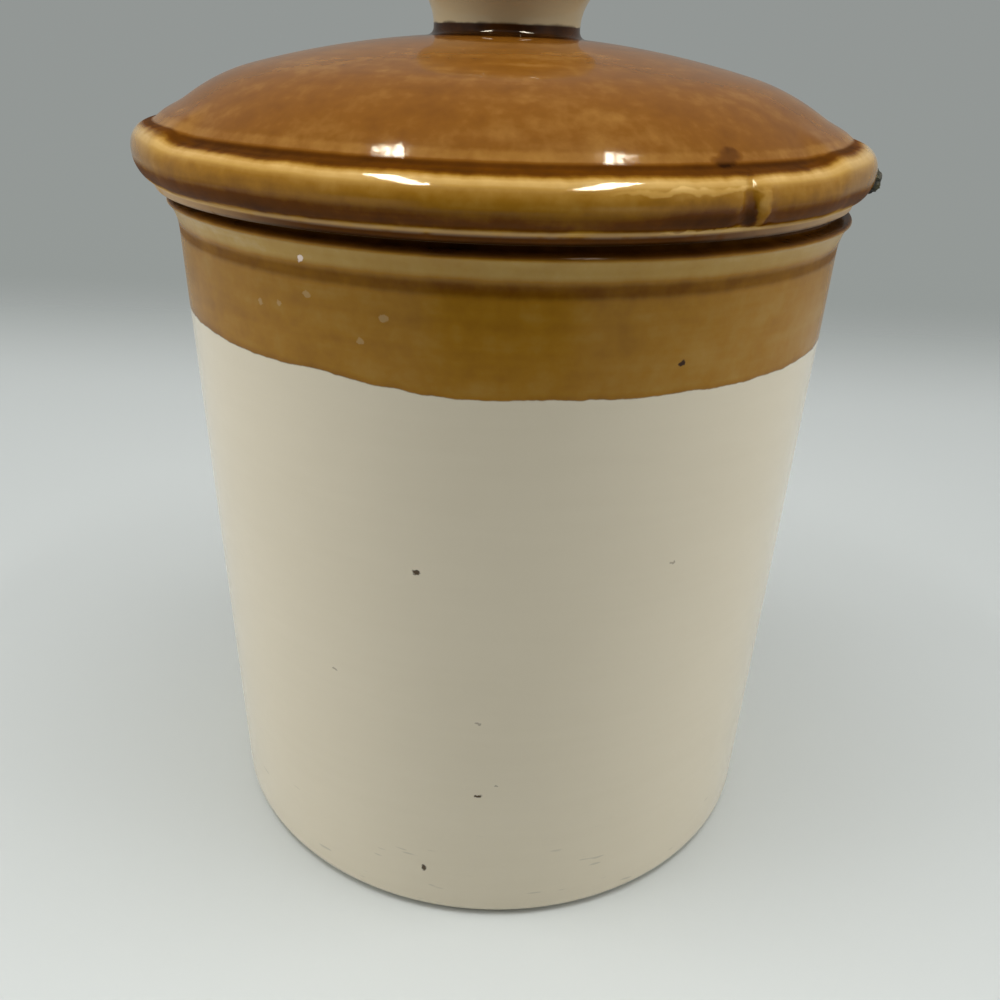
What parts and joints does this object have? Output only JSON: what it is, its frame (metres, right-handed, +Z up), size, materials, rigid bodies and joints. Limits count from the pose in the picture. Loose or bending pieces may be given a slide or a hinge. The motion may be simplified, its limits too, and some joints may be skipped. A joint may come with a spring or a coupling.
{
  "type": "ceramic tea canister",
  "caption": "Cylindrical ceramic storage canister with a glazed rim band, a collared mouth and a loose domed lid with a turned knob.",
  "frame": {"origin": "centre of the ring that the pot stands on, at the table", "axes": "+Z up along the pot's axis, towards the knob; -Y faces the picture's viewer, +X is to the viewer's right"},
  "size_m": [0.1186, 0.1186, 0.1613],
  "materials": {
    "pot_glaze": "glossy",
    "lid_glaze": "glossy"
  },
  "bodies": {
    "root": {"pot": "pot_glaze", "lid": "lid_glaze"}
  },
  "joints": []
}
